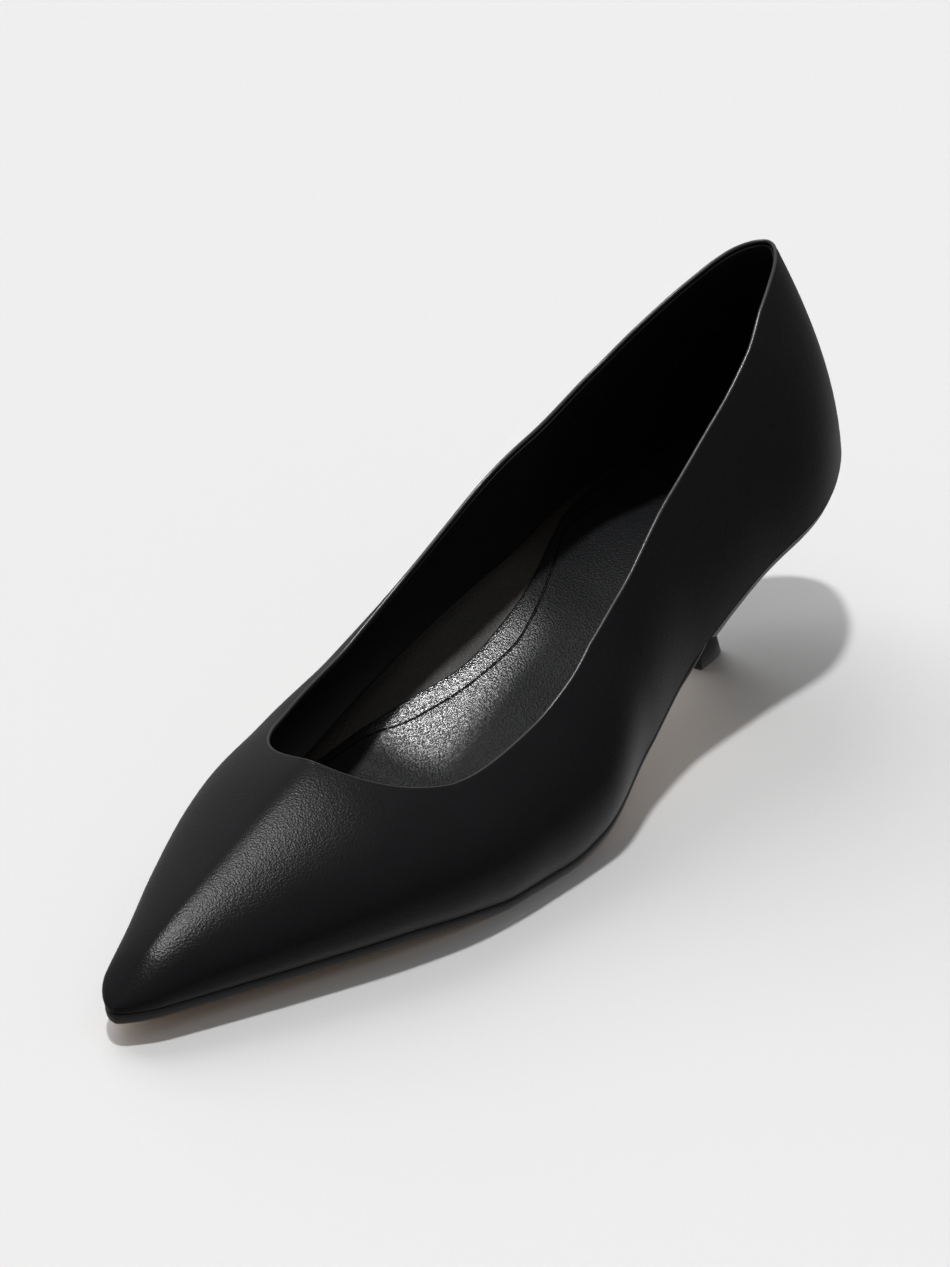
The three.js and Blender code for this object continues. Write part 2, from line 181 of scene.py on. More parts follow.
# Height of the collar above the margin of its own side, as shares of COUNTER_HEIGHT
COLLAR = columns(
    ["at", "outer", "inner"],
    [
        [0.00, 0.98, 0.98],
        [0.06, 0.975, 1.00],
        [0.14, 0.944, 0.98],
        [0.20, 0.86, 0.885],
        [0.26, 0.785, 0.745],
        [0.34, 0.735, 0.635],
        [0.42, 0.717, 0.57],
        [0.52, 0.696, 0.47],
        [0.61, 0.60, 0.534],
    ],
)

# Heel block from the seat, drop 0, to the top lift, drop 1.
# Each reach is the share of the way from the seat's outline to the lift's outline.
HEEL_FORM = columns(
    ["drop", "back_reach", "side_reach", "front_reach"],
    [
        [0.00, 0.00, 0.00, 0.00],
        [0.06, 0.05, 0.03, 0.09],
        [0.18, 0.34, 0.24, 0.27],
        [0.32, 0.58, 0.46, 0.46],
        [0.48, 0.78, 0.68, 0.65],
        [0.64, 0.92, 0.86, 0.82],
        [0.80, 1.00, 0.985, 0.95],
        [0.90, 1.015, 1.00, 0.99],
        [1.00, 1.00, 1.00, 1.00],
    ],
)

OUTER, INNER = 1, -1


# Last surface: a station runs from 0 at the back of the last to 1 at its tip

def rounded_end(distance, length):
    rest = 1 - np.clip(np.asarray(distance, float) / length, 0, 1)
    return np.sqrt(1 - rest * rest)


def half_width(side, station):
    share = SECTIONS["outer_width" if side > 0 else "inner_width"](station)
    from_back = np.asarray(station, float) * LAST_LENGTH
    ends = rounded_end(from_back, HEEL_ROUND_LENGTH) * rounded_end(LAST_LENGTH - from_back, TOE_ROUND_LENGTH)
    return BALL_HALF_WIDTH * share * ends


def sole_thickness(station):
    return lerp(SHANK_SOLE, FORE_SOLE, smoothstep(station, SHANK_ENDS, FORE_SOLE_STARTS))


def ground_line(side, station):
    rise = SECTIONS["outer_rise" if side > 0 else "inner_rise"](station)
    return rise * HEEL_HEIGHT + SECTIONS["spring"](station) * TOE_SPRING


def margin_height(side, station):
    return ground_line(side, station) + sole_thickness(station) + PIECE_GAP


def ridge_height(station):
    nose = rounded_end((1 - np.asarray(station, float)) * LAST_LENGTH + NOSE_LIP, NOSE_ROUND_LENGTH)
    return margin_height(OUTER, station) + SECTIONS["cone"](station) * CONE_HEIGHT * nose


def back_fade(station):
    return np.clip(1 - np.asarray(station, float) / LEAN_ENDS, 0, 1) ** 2


def margin_place(station):
    return np.asarray(station, float) * LAST_LENGTH + SEAT_TUCK * back_fade(station)


def last_point(x, from_back, z):
    """Point in the drawing's frame: the toe along -Y."""
    x, y, z = np.broadcast_arrays(x, -np.asarray(from_back, float), z)
    return np.stack([x, y, z], -1)


def wall_point(side, station, turn):
    """Point of the upper's outside; turn runs from 0 at the margin to 1 at the ridge."""
    start = np.radians(WALL_FORM["start_angle"](station))
    angle = lerp(start, math.pi / 2, turn)
    climb = (np.sin(angle) - np.sin(start)) / (1 - np.sin(start))
    margin = margin_height(side, station)
    z = margin + (ridge_height(station) - margin) * climb
    level = (z - margin) / COUNTER_HEIGHT
    counter_share = 1 - COUNTER_TAPER * level - COUNTER_BOW * level * level
    vamp_share = (np.maximum(np.cos(angle), 0) / np.cos(start)) ** WALL_FORM["power"](station)
    share = lerp(vamp_share, counter_share, 1 - smoothstep(station, COUNTER_ENDS, VAMP_STARTS))
    height = (z - margin_height(OUTER, station)) / COUNTER_HEIGHT
    lean = SEAT_TUCK + COUNTER_LEAN * (height * height + height) / 2
    from_back = np.asarray(station, float) * LAST_LENGTH + lean * back_fade(station)
    return last_point(side * half_width(side, station) * share, from_back, z)


def turn_at_height(side, station, height):
    start = np.radians(WALL_FORM["start_angle"](station))
    climb = np.clip(height / (ridge_height(station) - margin_height(side, station)), 0, 1)
    return (np.arcsin(lerp(np.sin(start), 1, climb)) - start) / (math.pi / 2 - start)


def station_at(from_back):
    station = np.asarray(from_back, float) / LAST_LENGTH
    for _ in range(4):
        station = station + (from_back - margin_place(station)) / LAST_LENGTH
    return np.clip(station, 0, 1)


def cross_height(station, across):
    """Margin surface across the shoe: level under the outer part of the foot, then up to the arch."""
    level = SECTIONS["level_share"](station)
    climb = np.clip((across - level) / (1 - level), 0, 1) ** ARCH_CURVE
    return lerp(margin_height(OUTER, station), margin_height(INNER, station), climb)


def place_across(x, from_back):
    """Share of the way across the margin, from its outer to its inner edge."""
    station = station_at(from_back)
    outer, inner = half_width(OUTER, station), half_width(INNER, station)
    return np.clip((outer - x) / np.maximum(outer + inner, 1e-6), 0, 1)


def margin_surface(x, from_back):
    return cross_height(station_at(from_back), place_across(x, from_back))


def edge_point(side, station, inset):
    """Point of the margin's outline moved inwards, square to the outline."""
    before, after = np.clip(station - 0.5 / LAST_LENGTH, 0, 1), np.clip(station + 0.5 / LAST_LENGTH, 0, 1)
    run = np.stack([half_width(side, after) - half_width(side, before),
                    margin_place(after) - margin_place(before)], -1)
    run = run / np.linalg.norm(run, axis=-1, keepdims=True)
    x = np.maximum(half_width(side, station) - inset * run[..., 1], 0)
    return side * x, margin_place(station) + inset * run[..., 0]


# Where the drawing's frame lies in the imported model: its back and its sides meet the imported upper's
def frame_shift():
    low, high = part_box("upper")
    stations = np.linspace(0, 1, 600)
    turns = np.linspace(0, 0.6, 60)
    wide = [wall_point(side, stations[:, None], turns[None, :])[..., 0] for side in (OUTER, INNER)]
    across = (np.max(wide[0]) + np.min(wide[1])) / 2
    return np.array([(low.x + high.x) / 2 / MM - across, low.y / MM + LAST_LENGTH, 0.0])


SHIFT = frame_shift()


# Meshes

# Steps of a millimetre in which two corners count as being in one place
WELD_STEPS = 2000


class Skin:
    """A mesh from grids of points; corners in one place become one corner."""

    def __init__(self):
        self.places = {}
        self.points = []
        self.faces = []
        self.finishes = []

    def corner(self, point):
        key = tuple(round(value * WELD_STEPS) for value in point)
        if key not in self.places:
            self.places[key] = len(self.points)
            self.points.append(point)
        return self.places[key]

    def face(self, corners, finish=0):
        ring = []
        for corner in corners:
            if corner not in ring:
                ring.append(corner)
        if len(ring) > 2:
            self.faces.append(ring)
            self.finishes.append(finish)

    def grid(self, points, finish=0, flip=False):
        """Faces between the rows and columns of a grid; finish is a number or a number for each row."""
        rows, strips = points.shape[:2]
        index = [[self.corner(tuple(points[i, k])) for k in range(strips)] for i in range(rows)]
        for i in range(rows - 1):
            for k in range(strips - 1):
                ring = [index[i][k], index[i + 1][k], index[i + 1][k + 1], index[i][k + 1]]
                number = finish if np.isscalar(finish) else finish[k]
                self.face(ring[::-1] if flip else ring, number)

    def piece(self, name, finishes, smooth_angle=40):
        mesh = bpy.data.meshes.new(name)
        points = (np.array(self.points) + SHIFT) * MM
        mesh.from_pydata(points.tolist(), [], self.faces)
        mesh.polygons.foreach_set("material_index", self.finishes)
        for finish in finishes:
            mesh.materials.append(finish)
        mesh.update()
        mesh.polygons.foreach_set("use_smooth", [True] * len(mesh.polygons))
        mesh.set_sharp_from_angle(angle=math.radians(smooth_angle))
        piece = bpy.data.objects.new(name, mesh)
        bpy.context.scene.collection.objects.link(piece)
        return piece


def skin_normals(grid):
    """Outward unit normals of a wall's grid, shared by points that lie in one place."""
    rows, strips = grid.shape[:2]
    flat = grid.reshape(-1, 3)
    places = np.unique(np.round(flat * WELD_STEPS).astype(int), axis=0, return_inverse=True)[1].reshape(-1)
    index = places.reshape(rows, strips)
    a, b = grid[:-1, :-1], grid[1:, 1:]
    c, d = grid[1:, :-1], grid[:-1, 1:]
    face = np.cross(b - a, d - c).reshape(-1, 3)
    total = np.zeros((places.max() + 1, 3))
    for corner in (index[:-1, :-1], index[1:, 1:], index[1:, :-1], index[:-1, 1:]):
        np.add.at(total, corner.reshape(-1), face)
    total /= np.maximum(np.linalg.norm(total, axis=1, keepdims=True), 1e-12)
    return -total[places].reshape(grid.shape)


# Shader maths: a socket in a node tree, with the operators that the finishes use

class Signal:
    def __init__(self, tree, socket):
        self.tree = tree
        self.socket = socket

    def maths(self, operation, other, swap=False):
        first, second = (other, self) if swap else (self, other)
        return self.tree.node("ShaderNodeMath", {"operation": operation}, {0: first, 1: second})

    def __add__(self, other):
        return self.maths("ADD", other)

    def __radd__(self, other):
        return self.maths("ADD", other, swap=True)

    def __sub__(self, other):
        return self.maths("SUBTRACT", other)

    def __rsub__(self, other):
        return self.maths("SUBTRACT", other, swap=True)

    def __mul__(self, other):
        return self.maths("MULTIPLY", other)

    def __rmul__(self, other):
        return self.maths("MULTIPLY", other, swap=True)

    def step(self, low, high):
        """0 below low, 1 above high, smooth between."""
        settings = {"interpolation_type": "SMOOTHSTEP"}
        inputs = {"Value": self, "From Min": low, "From Max": high}
        return self.tree.node("ShaderNodeMapRange", settings, inputs)


class Nodes:
    """A node tree that takes numbers, colours and signals for its sockets."""

    def __init__(self, tree):
        self.nodes = tree.nodes
        self.links = tree.links

    def put(self, socket, value):
        if isinstance(value, Signal):
            self.links.new(value.socket, socket)
        else:
            socket.default_value = value

    def node(self, kind, settings, inputs, output=0):
        node = self.nodes.new(kind)
        for name, value in settings.items():
            setattr(node, name, value)
        for name, value in inputs.items():
            self.put(node.inputs[name], value)
        return Signal(self, node.outputs[output])


class Finish(Nodes):
    """A material with one principled shader, built from noise in the object's own metres."""

    def __init__(self, name):
        self.material = bpy.data.materials.new(name)
        self.material.use_nodes = True
        super().__init__(self.material.node_tree)
        self.shader = next(node for node in self.nodes if node.type == "BSDF_PRINCIPLED")
        self.place = self.node("ShaderNodeTexCoord", {}, {}, "Object")

    def noise(self, cell_mm, detail=3.0, stretch=(1.0, 1.0, 1.0)):
        """Noise with features of a size in millimetres, stretched along the axes."""
        place = self.node("ShaderNodeMapping", {}, {"Vector": self.place, "Scale": stretch})
        inputs = {"Vector": place, "Scale": 1.0 / (cell_mm * MM), "Detail": detail, "Roughness": 0.55}
        return self.node("ShaderNodeTexNoise", {}, inputs, "Fac")

    def cells(self, cell_mm):
        """Rounded cells of a size in millimetres, as the pores of a hide."""
        inputs = {"Vector": self.place, "Scale": 1.0 / (cell_mm * MM), "Randomness": 1.0}
        return self.node("ShaderNodeTexVoronoi", {"feature": "F1"}, inputs, "Distance")

    def attribute(self, name):
        return self.node("ShaderNodeAttribute", {"attribute_name": name}, {}, "Fac")

    def mix(self, share, first, second):
        inputs = {0: share, 6: first, 7: second}
        return self.node("ShaderNodeMix", {"data_type": "RGBA"}, inputs, 2)

    def relief(self, height, depth_mm, before=None):
        inputs = {"Height": height, "Distance": depth_mm * MM, "Strength": 1.0}
        if before is not None:
            inputs["Normal"] = before
        return self.node("ShaderNodeBump", {}, inputs)

    def set(self, **sockets):
        for name, value in sockets.items():
            self.put(self.shader.inputs[name.replace("_", " ")], value)
        return self.material


def calf_finish():
    """Smooth black calf: fine pores, wandering gloss, soft hide relief."""
    calf = Finish("black_calf")
    pores = calf.cells(0.48)
    fine = calf.noise(0.24, 2.0)
    cloud = calf.noise(14.0, 3.0)
    hide = calf.noise(2.6, 3.0)
    colour = calf.mix(cloud, (0.0052, 0.0048, 0.0058, 1), (0.0074, 0.0069, 0.0082, 1))
    shine = 0.245 + 0.06 * cloud + 0.05 * fine
    soft = calf.relief(hide, 0.03)
    pulled = calf.relief(calf.noise(0.8, 2.0, (1.0, 1.0, 0.12)) * calf.attribute("pull"), 0.07, soft)
    grain = calf.relief(pores * 0.6 + fine * 0.4, 0.055, pulled)
    return calf.set(Base_Color=colour, Roughness=shine, Normal=grain, Specular_IOR_Level=0.15)


def fold_finish():
    """Turned edge of the calf at the opening: glossier, and coloured lighter than the calf as a painted
    highlight along the edge.
    """
    fold = Finish("calf_fold_painted_highlight")
    fine = fold.noise(0.3, 2.0)
    # Lighter than the calf: painted highlight for the bright line along the opening's edge.
    colour = fold.mix(fine, (0.014, 0.014, 0.015, 1), (0.024, 0.023, 0.025, 1))
    return fold.set(Base_Color=colour, Roughness=0.27 + 0.08 * fine, Normal=fold.relief(fine, 0.012),
                    Specular_IOR_Level=0.75)


def lining_finish():
    lining = Finish("black_lining")
    grain = lining.cells(0.5) * 0.5 + lining.noise(0.4, 2.0) * 0.5
    cloud = lining.noise(9.0)
    colour = lining.mix(cloud, (0.0045, 0.0042, 0.0042, 1), (0.0075, 0.0068, 0.0064, 1))
    return lining.set(Base_Color=colour, Roughness=0.55 + 0.1 * cloud, Normal=lining.relief(grain, 0.05))


def board_finish():
    """Brown-black lining leather round the sock."""
    board = Finish("board_leather")
    grain = board.cells(0.55) * 0.6 + board.noise(0.4, 2.0) * 0.4
    cloud = board.noise(7.0)
    colour = board.mix(cloud, (0.010, 0.008, 0.006, 1), (0.018, 0.014, 0.010, 1))
    return board.set(Base_Color=colour, Roughness=0.5 + 0.1 * cloud, Normal=board.relief(grain, 0.12))


STITCH_PITCH = 2.6


def sock_finish():
    """Glossy grained sock leather, with its seam as a groove broken by stitches; the groove is coloured near
    black as painted shade.
    """
    sock = Finish("sock_leather")
    pebble = sock.cells(0.5)
    fine = sock.noise(0.3, 3.0)
    cloud = sock.noise(11.0)
    colour = sock.mix(cloud, (0.0056, 0.0060, 0.0070, 1), (0.0090, 0.0095, 0.0108, 1))
    seam_distance = sock.attribute("seam")
    stitch = sock.attribute("seam_run").maths("PINGPONG", STITCH_PITCH / 2).step(0.15, 0.5)
    line = 1 - (seam_distance * seam_distance).step(0.01, 0.11)
    open_leather = 1 - line * (0.5 + 0.5 * stitch)
    # Near black along the seam: painted shade in its groove, which the relief also dents.
    colour = sock.mix(open_leather, (0.001, 0.001, 0.001, 1), colour)
    grain = sock.relief(pebble * 0.6 + fine * 0.4, 0.13)
    groove = sock.relief(open_leather, 0.25, grain)
    polish = sock.attribute("polish") * open_leather
    return sock.set(Base_Color=colour, Roughness=0.40 + 0.06 * cloud, Normal=groove, Specular_IOR_Level=0.11,
                    Coat_Weight=polish, Coat_Roughness=0.23, Coat_IOR=1.75, Coat_Normal=groove)


def sole_finish():
    """Tan sole leather with long fibres, paler where it is buffed."""
    sole = Finish("sole_leather")
    fibre = sole.noise(1.1, 4.0, (1.0, 0.22, 1.0))
    cloud = sole.noise(16.0)
    pores = sole.noise(0.35, 2.0)
    base = sole.mix(cloud, (0.40, 0.262, 0.150, 1), (0.48, 0.330, 0.200, 1))
    colour = sole.mix(fibre.step(0.42, 0.75) * 0.35, base, (0.36, 0.205, 0.095, 1))
    return sole.set(Base_Color=colour, Roughness=0.42 + 0.14 * fibre,
                    Normal=sole.relief(fibre * 0.6 + pores * 0.4, 0.03))


def edge_finish():
    """Black edge paint on the sole: smooth, with faint ripples along the edge."""
    edge = Finish("edge_paint")
    ripple = edge.noise(1.6, 3.0, (1.0, 1.0, 2.5))
    colour = edge.mix(ripple, (0.0075, 0.0070, 0.0075, 1), (0.012, 0.0115, 0.012, 1))
    return edge.set(Base_Color=colour, Roughness=0.34 + 0.1 * ripple, Normal=edge.relief(ripple, 0.05))


def raw_edge_finish():
    raw = Finish("raw_edge")
    fibre = raw.noise(0.5, 3.0)
    colour = raw.mix(fibre, (0.060, 0.032, 0.020, 1), (0.110, 0.062, 0.038, 1))
    return raw.set(Base_Color=colour, Roughness=0.6 + 0.1 * fibre, Normal=raw.relief(fibre, 0.03))


def heel_finish():
    """Black leather cover of the heel block, pulled tight and polished."""
    cover = Finish("heel_cover")
    grain = cover.cells(0.55) * 0.6 + cover.noise(0.35, 2.0) * 0.4
    cloud = cover.noise(9.0)
    colour = cover.mix(cloud, (0.0058, 0.0056, 0.0060, 1), (0.0095, 0.0090, 0.0096, 1))
    return cover.set(Base_Color=colour, Roughness=0.30 + 0.08 * cloud, Normal=cover.relief(grain, 0.022),
                     Coat_Weight=0.2, Coat_Roughness=0.2)


def lift_finish():
    """Hard black rubber with moulding speckle and light scuffs."""
    lift = Finish("lift_rubber")
    speckle = lift.noise(0.25, 2.0)
    scuff = lift.noise(1.8, 4.0, (1.0, 0.3, 1.0)).step(0.62, 0.80)
    colour = lift.mix(scuff * 0.5, (0.010, 0.010, 0.0105, 1), (0.045, 0.043, 0.040, 1))
    return lift.set(Base_Color=colour, Roughness=0.46 + 0.16 * scuff, Normal=lift.relief(speckle, 0.02))


CALF = calf_finish()
FOLD = fold_finish()
LINING = lining_finish()
BOARD = board_finish()
SOCK = sock_finish()
SOLE = sole_finish()
EDGE_PAINT = edge_finish()
RAW_EDGE = raw_edge_finish()
HEEL_COVER = heel_finish()
LIFT_RUBBER = lift_finish()


# Upper: columns run up the wall, from the back of the heel to the tip

SIDE_COLUMNS = 84
CORNER_COLUMNS = 44
VAMP_COLUMNS = 72
THROAT_COLUMN = SIDE_COLUMNS + CORNER_COLUMNS
WALL_ROWS = 40
LINING_ROWS = 20
FOLD_STEPS = 6
LINING_FOLD_STEPS = 4
LINING_GAP = 0.02
# How the columns of the collar crowd towards the back of the heel: 1 is evenly spaced
COLLAR_CROWDING = 1.5
# Columns before and after the corner over which the collar runs softly into the throat
SOFT_BEFORE = 8
SOFT_AFTER = 13
SOFTENING_PASSES = 40
# Columns before the corner at which the rounding of the ridge begins
ROUNDED_BEFORE = 4


def wall_columns(side, drop):
    """Stations and tops of the columns; the opening is drop millimetres wider than the collar line."""
    throat = 1 - (THROAT_FROM_TIP - drop) / LAST_LENGTH
    corner = 1 - (THROAT_CORNER_FROM_TIP - drop) / LAST_LENGTH
    collar = COLLAR["outer" if side > 0 else "inner"]
    back = corner * np.linspace(0, 1, SIDE_COLUMNS + 1) ** COLLAR_CROWDING
    back_tops = turn_at_height(side, back, collar(back) * COUNTER_HEIGHT - drop)
    power = 2 / THROAT_SQUARENESS
    angles = np.linspace(0, math.pi / 2, CORNER_COLUMNS + 1)[1:]
    bend = lerp(corner, throat, np.sin(angles) ** power)
    bend_tops = 1 - (1 - back_tops[-1]) * np.maximum(np.cos(angles), 0) ** power
    bend_tops[-1] = 1
    front = lerp(throat, 1, np.sin(math.pi / 2 * np.linspace(0, 1, VAMP_COLUMNS + 1)[1:]))
    line = np.stack([np.concatenate([back, bend]), np.concatenate([back_tops, bend_tops])])
    middle = slice(SIDE_COLUMNS - SOFT_BEFORE, SIDE_COLUMNS + SOFT_AFTER)
    for _ in range(SOFTENING_PASSES):
        near = (line[:, :-2] + 2 * line[:, 1:-1] + line[:, 2:]) / 4
        line[:, middle] = near[:, middle.start - 1:middle.stop - 1]
    return np.concatenate([line[0], front]), np.concatenate([line[1], np.ones(VAMP_COLUMNS)])


# How far the ridge is rounded across the shoe, in millimetres, from the waist to the tip
RIDGE_ROUND = columns(
    ["at", "reach"],
    [
        [0.56, 7.5],
        [0.80, 5.2],
        [0.88, 2.8],
        [0.94, 0.9],
        [1.00, 0.6],
    ],
)
# Stations over which that rounding fades out towards the tip
RIDGE_ROUND_FADES = (0.955, 0.995)
# Shares of the rounding's reach: its spread, and where it fades out down the wall
RIDGE_SPREAD = 0.5
WALL_FADES = (0.6, 2.2)
FINE_TURNS = np.linspace(0, 1, 121)


def soft_columns(station, turns):
    """Outer and inner column of a station, with the ridge rounded across the shoe."""
    outer, inner = [wall_point(side, station, FINE_TURNS) for side in (OUTER, INNER)]
    line = np.concatenate([outer, inner[-2::-1]])
    middle = len(FINE_TURNS) - 1
    line[middle, 0] = 0
    along = np.concatenate([[0], np.cumsum(np.linalg.norm(np.diff(line, axis=0), axis=1))])
    reach = float(RIDGE_ROUND["reach"](station))
    apart = along[:, None] - along[None, :]
    near = np.exp(-(apart / (RIDGE_SPREAD * reach)) ** 2) * np.gradient(along)[None, :]
    near /= near.sum(1, keepdims=True)
    away = np.abs(along - along[middle])
    strength = 1 - smoothstep(station, *RIDGE_ROUND_FADES)
    fade = strength * (1 - smoothstep(away, WALL_FADES[0] * reach, WALL_FADES[1] * reach))[:, None]
    line = line + fade * (near @ line - line)
    halves = (line[:middle + 1], line[middle:][::-1])
    return [np.stack([np.interp(turn, FINE_TURNS, half[:, k]) for k in range(3)], -1)
            for half, turn in zip(halves, turns)]


def wall_ring(drop, rows):
    """Outside of the wall: outer columns from the heel to the tip, then inner columns back to the heel."""
    shares = np.linspace(0, 1, rows + 1)
    halves, tops = [], []
    for side in (OUTER, INNER):
        stations, side_tops = wall_columns(side, drop)
        half = wall_point(side, stations[:, None], side_tops[:, None] * shares[None, :])
        half[0, :, 0] = 0
        half[-1, :, 0] = 0
        halves.append(half)
        tops.append(side_tops)
    for i in range(SIDE_COLUMNS - ROUNDED_BEFORE, len(stations) - 1):
        turns = [side_tops[i] * shares for side_tops in tops]
        halves[0][i], halves[1][i] = soft_columns(stations[i], turns)
    ring = np.concatenate([halves[0], halves[1][-2:0:-1]])
    return np.concatenate([ring, ring[:1]])


def opening_loop(ring):
    """Indices of the columns that end at the opening, round from the throat by the heel and back."""
    count = len(ring) - 1
    return [i % count for i in range(-THROAT_COLUMN, THROAT_COLUMN + 1)]


def fold_over(edge, normals, radius, steps):
    """Half round from the outside over the opening's edge to the inside."""
    loop = edge[:-1]
    tangent = np.roll(loop, -1, 0) - np.roll(loop, 1, 0)
    tangent /= np.linalg.norm(tangent, axis=1, keepdims=True)
    tangent = np.concatenate([tangent, tangent[:1]])
    away = np.cross(normals, tangent)
    away /= np.linalg.norm(away, axis=1, keepdims=True)
    middle = edge - normals * radius
    if away[len(away) // 2, 2] < 0:
        away = -away
    angles = np.linspace(0, math.pi, steps + 1)[None, :, None]
    return middle[:, None] + radius * (normals[:, None] * np.cos(angles) + away[:, None] * np.sin(angles))


def shell(skin, outside, inside, fold_radius, steps, outer_finish, fold_finish, inner_finish):
    """Closed wall between two rings, with a half-round edge at the opening."""
    skin.grid(outside, outer_finish, flip=True)
    skin.grid(inside, inner_finish)
    rim = np.stack([outside[:, 0], inside[:, 0]], 1)
    skin.grid(rim, inner_finish)
    loop = opening_loop(outside)
    edge = outside[loop, -1]
    normals = (outside[loop, -1] - inside[loop, -1]) / (2 * fold_radius)
    normals /= np.linalg.norm(normals, axis=1, keepdims=True)
    fold = fold_over(edge, normals, fold_radius, steps)
    fold[:, -1] = inside[loop, -1]
    skin.grid(fold, fold_finish, flip=True)


def mark(piece, name, share):
    """Stores a value at each corner of a piece."""
    points = np.array([corner.co for corner in piece.data.vertices]) / MM - SHIFT
    layer = piece.data.attributes.new(name, "FLOAT", "POINT")
    layer.data.foreach_set("value", share(points[:, 0], -points[:, 1]))


# Pull lines: the station of their middle and their reach, and where they fade in and out, in millimetres
PULL_MIDDLE = 0.68
PULL_REACH = 0.10
PULL_STARTS = (3, 12)
PULL_ENDS = (22, 32)


def throat_pull(x, from_back):
    """Where the lasted leather shows fine pull lines, below the throat's outer side."""
    station = np.asarray(from_back) / LAST_LENGTH
    across = smoothstep(x, *PULL_STARTS) * (1 - smoothstep(x, *PULL_ENDS))
    return bump(station, PULL_MIDDLE, PULL_REACH) * across


def make_upper():
    radius = LEATHER / 2
    outside = wall_ring(radius, WALL_ROWS)
    normals = skin_normals(outside)
    inside = outside - normals * LEATHER
    skin = Skin()
    shell(skin, outside, inside, radius, FOLD_STEPS, 0, 2, 1)
    upper = skin.piece("upper_leather", [CALF, LINING, FOLD])
    mark(upper, "pull", throat_pull)
    return upper


def make_lining():
    outside = wall_ring(LINING_DROP, LINING_ROWS)
    normals = skin_normals(outside)
    outer = outside - normals * (LEATHER + LINING_GAP)
    inner = outside - normals * UPPER_WALL
    radius = (UPPER_WALL - LEATHER - LINING_GAP) / 2
    skin = Skin()
    shell(skin, outer, inner, radius, LINING_FOLD_STEPS, 0, 0, 0)
    return skin.piece("lining", [LINING])


# Sole: rows of points across the shoe, each a closed outline through the leather

SOLE_STRIPS = 22
FORE_ROWS = 71
TIP_ROWS = 15
BREAST_ROWS = 40
# Rows either side of the corner over which the shank turns down into the breast
BEND_ROWS = 7


def sole_stations():
    breast = BREAST_FROM_BACK / LAST_LENGTH
    tip = lerp(1, TIP_STARTS, np.linspace(0, 1, TIP_ROWS) ** 2)
    rest = lerp(TIP_STARTS, breast, np.linspace(0, 1, FORE_ROWS)[1:])
    return np.concatenate([tip, rest])


def cross_line(station, inset, drop):
    """Line across the margin's surface between its two edges, moved in and down."""
    x0, back0 = edge_point(OUTER, station, inset)
    x1, back1 = edge_point(INNER, station, inset)
    across = np.linspace(0, 1, SOLE_STRIPS + 1)
    x, back = lerp(x0, x1, across), lerp(back0, back1, across)
    return last_point(x, back, margin_surface(x, back) - PIECE_GAP - drop)


def lift_top():
    return {
        "half_width": LIFT_HALF_WIDTH * LIFT_FLARE,
        "length": LIFT_LENGTH * LIFT_FLARE,
        "front": LIFT_FROM_BACK - LIFT_LENGTH * (1 - LIFT_FLARE) * LIFT_SLANT,
    }


def breast_row(drop, strips=SOLE_STRIPS, inset=0.0):
    """Front face of the heel block at a drop, from the outer to the inner side."""
    breast = BREAST_FROM_BACK / LAST_LENGTH
    top = lift_top()
    foot = top["front"] - SHANK_SOLE - PIECE_GAP
    across = np.linspace(0, 1, strips + 1)
    seat_x = lerp(half_width(OUTER, breast), -half_width(INNER, breast), across)
    lift_x = LIFT_OFFSET + lerp(top["half_width"], -top["half_width"], across)
    x = lerp(seat_x, lift_x, HEEL_FORM["side_reach"](drop))
    middle = x.mean()
    x = middle + (x - middle) * (1 - 2 * inset / (x.max() - x.min()))
    from_back = lerp(margin_place(breast), foot, HEEL_FORM["front_reach"](drop))
    height = lerp(cross_height(breast, across) - PIECE_GAP, LIFT_HEIGHT, drop)
    return last_point(x, from_back, height)


# The sole's edge: its drop as a share of the thickness, and its inset in millimetres
EDGE_PROFILE = [
    (0.00, 0.30),
    (0.10, 0.06),
    (0.30, 0.00),
    (0.60, 0.05),
    (0.84, 0.18),
    (1.00, 0.46),
]


def make_outsole():
    """Forepart, shank and the flap down the heel's breast, in one piece of leather."""
    stations = sole_stations()
    layers = [[] for _ in EDGE_PROFILE]
    for station in stations:
        thickness = float(sole_thickness(station))
        for layer, (share, inset) in zip(layers, EDGE_PROFILE):
            layer.append(cross_line(station, inset, share * thickness))
    drops = np.linspace(0, 1, BREAST_ROWS)[1:]
    for drop in drops:
        for layer, (share, inset) in zip(layers, EDGE_PROFILE):
            row = breast_row(drop, inset=inset)
            row[:, 1] -= PIECE_GAP + share * SHANK_SOLE
            layer.append(row)
    grids = [bend_sole(np.array(layer), len(stations)) for layer in layers]
    skin = Skin()
    skin.grid(grids[0], 1)
    skin.grid(grids[-1], 0, flip=True)
    outer_edge = np.stack([grid[:, 0] for grid in grids], 1)
    inner_edge = np.stack([grid[:, -1] for grid in grids], 1)
    foot = np.stack([grid[-1] for grid in grids], 1)
    tip = np.stack([grid[0] for grid in grids], 1)
    bands = [1] * (len(grids) - 2) + [2]
    skin.grid(outer_edge, bands, flip=True)
    skin.grid(inner_edge, bands)
    skin.grid(foot, 0)
    skin.grid(tip, bands, flip=True)
    return skin.piece("sole_leather", [SOLE, EDGE_PAINT, RAW_EDGE], smooth_angle=50)


def bend_sole(grid, corner_row):
    """Rounds the turn from the shank down to the breast."""
    bent = grid.copy()
    first, last = corner_row - BEND_ROWS, corner_row + BEND_ROWS
    start, end = grid[first], grid[last]
    turn = grid[corner_row - 1]
    for i in range(first, last + 1):
        s = (i - first) / (last - first)
        bent[i] = (1 - s) ** 2 * start + 2 * s * (1 - s) * turn + s * s * end
    return bent


# Sock and the board that it lies on

